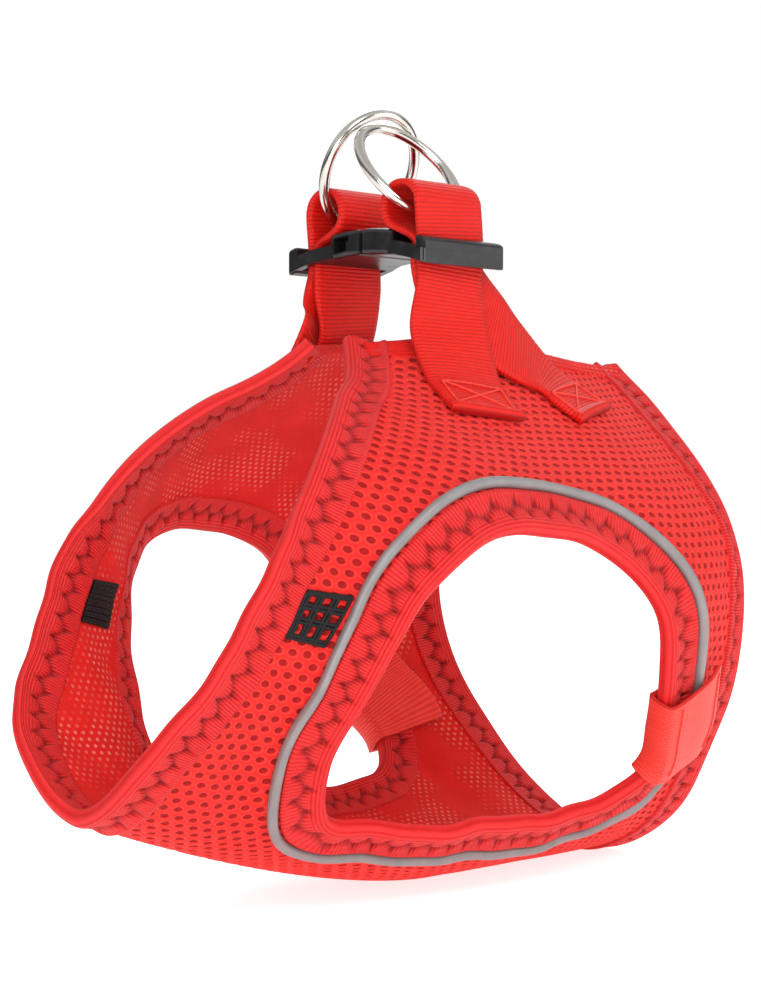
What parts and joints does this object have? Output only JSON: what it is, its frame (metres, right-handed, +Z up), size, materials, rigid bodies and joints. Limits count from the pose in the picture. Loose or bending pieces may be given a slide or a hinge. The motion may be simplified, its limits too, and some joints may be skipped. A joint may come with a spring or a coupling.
{
  "type": "small dog harness vest",
  "caption": "Step-in dog harness vest of air mesh with bound leg, neck and waist edges, two webbing loops with leash rings and a side-release buckle over the back.",
  "frame": {"origin": "on the middle plane at the belly line, below the chest, where the wearer's body carries the vest", "axes": "+X toward the tail, +Z up toward the back, near flank at -Y, far flank at +Y"},
  "size_m": [0.1624, 0.118, 0.1696],
  "materials": {
    "outer_mesh": "knitted spacer mesh",
    "lining": "fine mesh",
    "binding": "ribbed tape",
    "webbing": "woven",
    "keeper_webbing": "woven",
    "reflective_piping": "reflective",
    "black_thread": "thread",
    "red_thread": "thread",
    "nickel_plate": "polished",
    "buckle_plastic": "satin"
  },
  "bodies": {
    "far_half": {"far_outer_mesh": "outer_mesh", "far_lining": "lining", "far_neck_binding": "binding", "far_rear_binding": "binding", "far_leg_binding": "binding", "far_reflective_piping": "reflective_piping", "far_strip_keeper": "keeper_webbing", "far_bartack": "black_thread", "far_bartack_back": "black_thread", "far_strap": "webbing", "far_front_box_stitch": "red_thread", "far_rear_box_stitch": "red_thread", "buckle_socket": "buckle_plastic"},
    "near_half": {"near_outer_mesh": "outer_mesh", "near_lining": "lining", "near_neck_binding": "binding", "near_rear_binding": "binding", "near_leg_binding": "binding", "near_reflective_piping": "reflective_piping", "near_strip_keeper": "keeper_webbing", "near_bartack": "black_thread", "near_bartack_back": "black_thread", "near_strap": "webbing", "near_front_box_stitch": "red_thread", "near_rear_box_stitch": "red_thread", "buckle_plug": "buckle_plastic"},
    "far_ring": {"far_leash_ring": "nickel_plate"},
    "near_ring": {"near_leash_ring": "nickel_plate"},
    "front_arm": {"front_latch_arm": "buckle_plastic"},
    "rear_arm": {"rear_latch_arm": "buckle_plastic"}
  },
  "joints": [
    {"name": "vest_open", "type": "hinge", "parent": "far_half", "child": "near_half", "pos_m": [0, 0, -0.0026], "axis": [1, 0, 0], "range_deg": [0, 80]},
    {"name": "near_ring_swing", "type": "hinge", "parent": "near_half", "child": "near_ring", "pos_m": [0.0164, -0.0115, 0.1448], "axis": [1, 0, 0], "range_deg": [0, 110]},
    {"name": "far_ring_swing", "type": "hinge", "parent": "far_half", "child": "far_ring", "pos_m": [0.0164, 0.0115, 0.1448], "axis": [1, 0, 0], "range_deg": [-93, 0]},
    {"name": "front_arm_press", "type": "hinge", "parent": "near_half", "child": "front_arm", "pos_m": [0.0114, -0.0064, 0.13747], "axis": [0, 0, 1], "range_deg": [-6, 0], "stiffness_Nm_per_rad": 0.02},
    {"name": "rear_arm_press", "type": "hinge", "parent": "near_half", "child": "rear_arm", "pos_m": [0.0226, -0.0064, 0.13747], "axis": [0, 0, 1], "range_deg": [0, 6], "stiffness_Nm_per_rad": 0.02}
  ]
}
